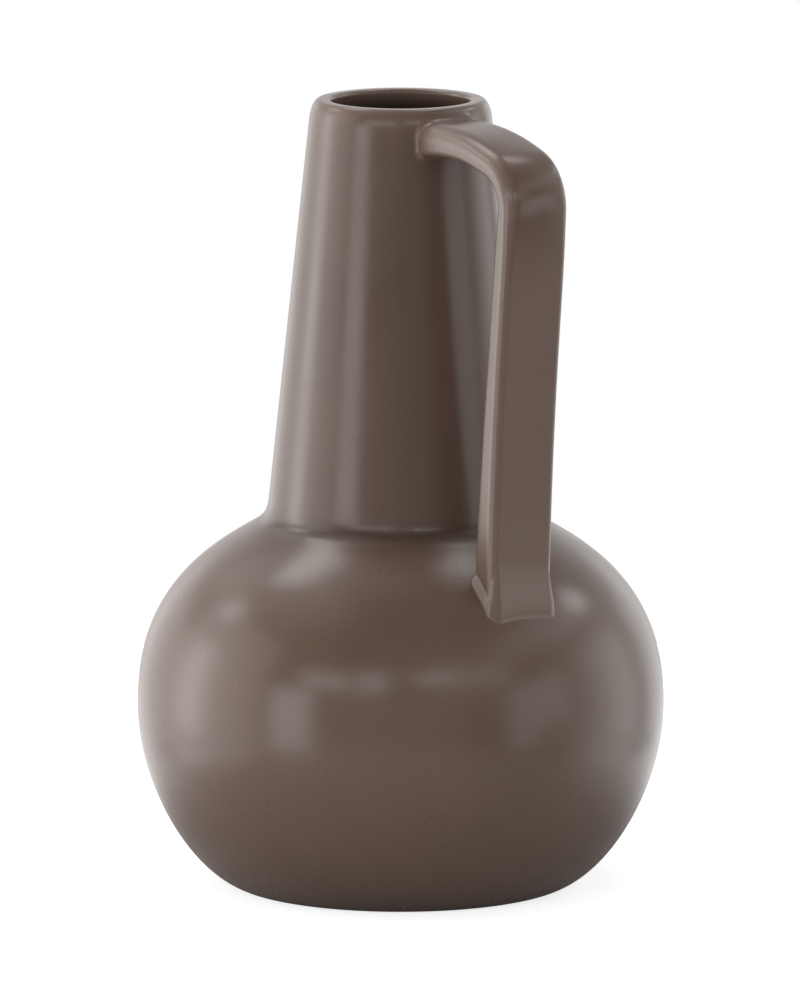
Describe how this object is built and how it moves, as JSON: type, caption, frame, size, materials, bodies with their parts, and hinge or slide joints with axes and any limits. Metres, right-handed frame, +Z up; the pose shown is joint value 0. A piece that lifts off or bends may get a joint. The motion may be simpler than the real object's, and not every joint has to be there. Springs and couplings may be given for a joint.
{
  "type": "jug vase",
  "caption": "Ceramic jug vase with a squashed round bulb, a tall tapering neck with a rounded lip, and one flat strap handle from below the lip to the shoulder.",
  "frame": {"origin": "centre of the foot ring, on the surface that the vase stands on", "axes": "+Z up along the axis of the vessel, +X towards the handle, whose middle plane is XZ"},
  "size_m": [0.1666, 0.1666, 0.25],
  "materials": {
    "glaze": "satin",
    "slip_glaze": "satin"
  },
  "bodies": {
    "root": {"body": "glaze", "neck": "glaze", "neck_joint": "slip_glaze", "handle": "glaze", "handle_upper_joint": "slip_glaze", "handle_lower_joint": "slip_glaze"}
  },
  "joints": []
}
